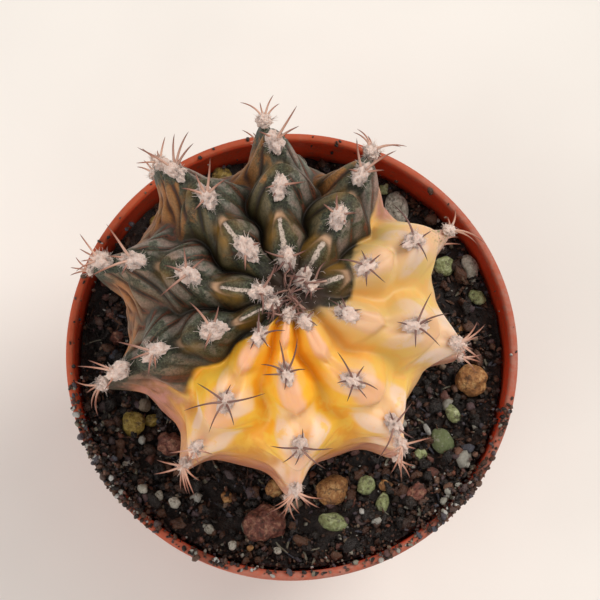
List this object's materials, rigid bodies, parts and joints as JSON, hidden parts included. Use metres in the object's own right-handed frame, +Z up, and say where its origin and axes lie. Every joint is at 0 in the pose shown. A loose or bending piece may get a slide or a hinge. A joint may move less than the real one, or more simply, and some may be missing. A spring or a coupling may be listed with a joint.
{
  "type": "potted moon cactus",
  "caption": "Half green, half yellow ribbed chin cactus with woolly areoles and curved spines, standing in gritty soil with pebbles in a round terracotta-coloured plastic pot.",
  "frame": {"origin": "middle of the pot's underside, on the pot's axis, where the pot rests", "axes": "+Z up along the pot's axis, +X to the right and -Y towards the viewer in the picture, so the green half of the plant is at the far left and the yellow half at the near right"},
  "size_m": [0.065, 0.0657, 0.0852],
  "materials": {
    "pot_plastic": "satin",
    "soil": "matte",
    "cactus_skin": "satin",
    "wool": "matte",
    "spine": "satin",
    "pebble_green": "matte",
    "pebble_pale": "matte",
    "pebble_brown": "matte",
    "pebble_red": "matte",
    "pebble_olive": "matte"
  },
  "bodies": {
    "root": {"pot": "pot_plastic", "soil": "soil", "cactus": "cactus_skin", "pebble_01": "pebble_green", "pebble_02": "pebble_pale", "pebble_03": "pebble_green", "pebble_04": "pebble_pale", "pebble_05": "pebble_brown", "pebble_06": "pebble_brown", "pebble_07": "pebble_green", "pebble_08": "pebble_green", "pebble_09": "pebble_green", "pebble_10": "pebble_green", "pebble_11": "pebble_pale", "pebble_12": "pebble_red", "pebble_13": "pebble_red", "pebble_14": "pebble_brown", "pebble_15": "pebble_olive", "pebble_16": "pebble_red", "pebble_17": "pebble_red", "pebble_18": "pebble_olive"}
  },
  "joints": []
}
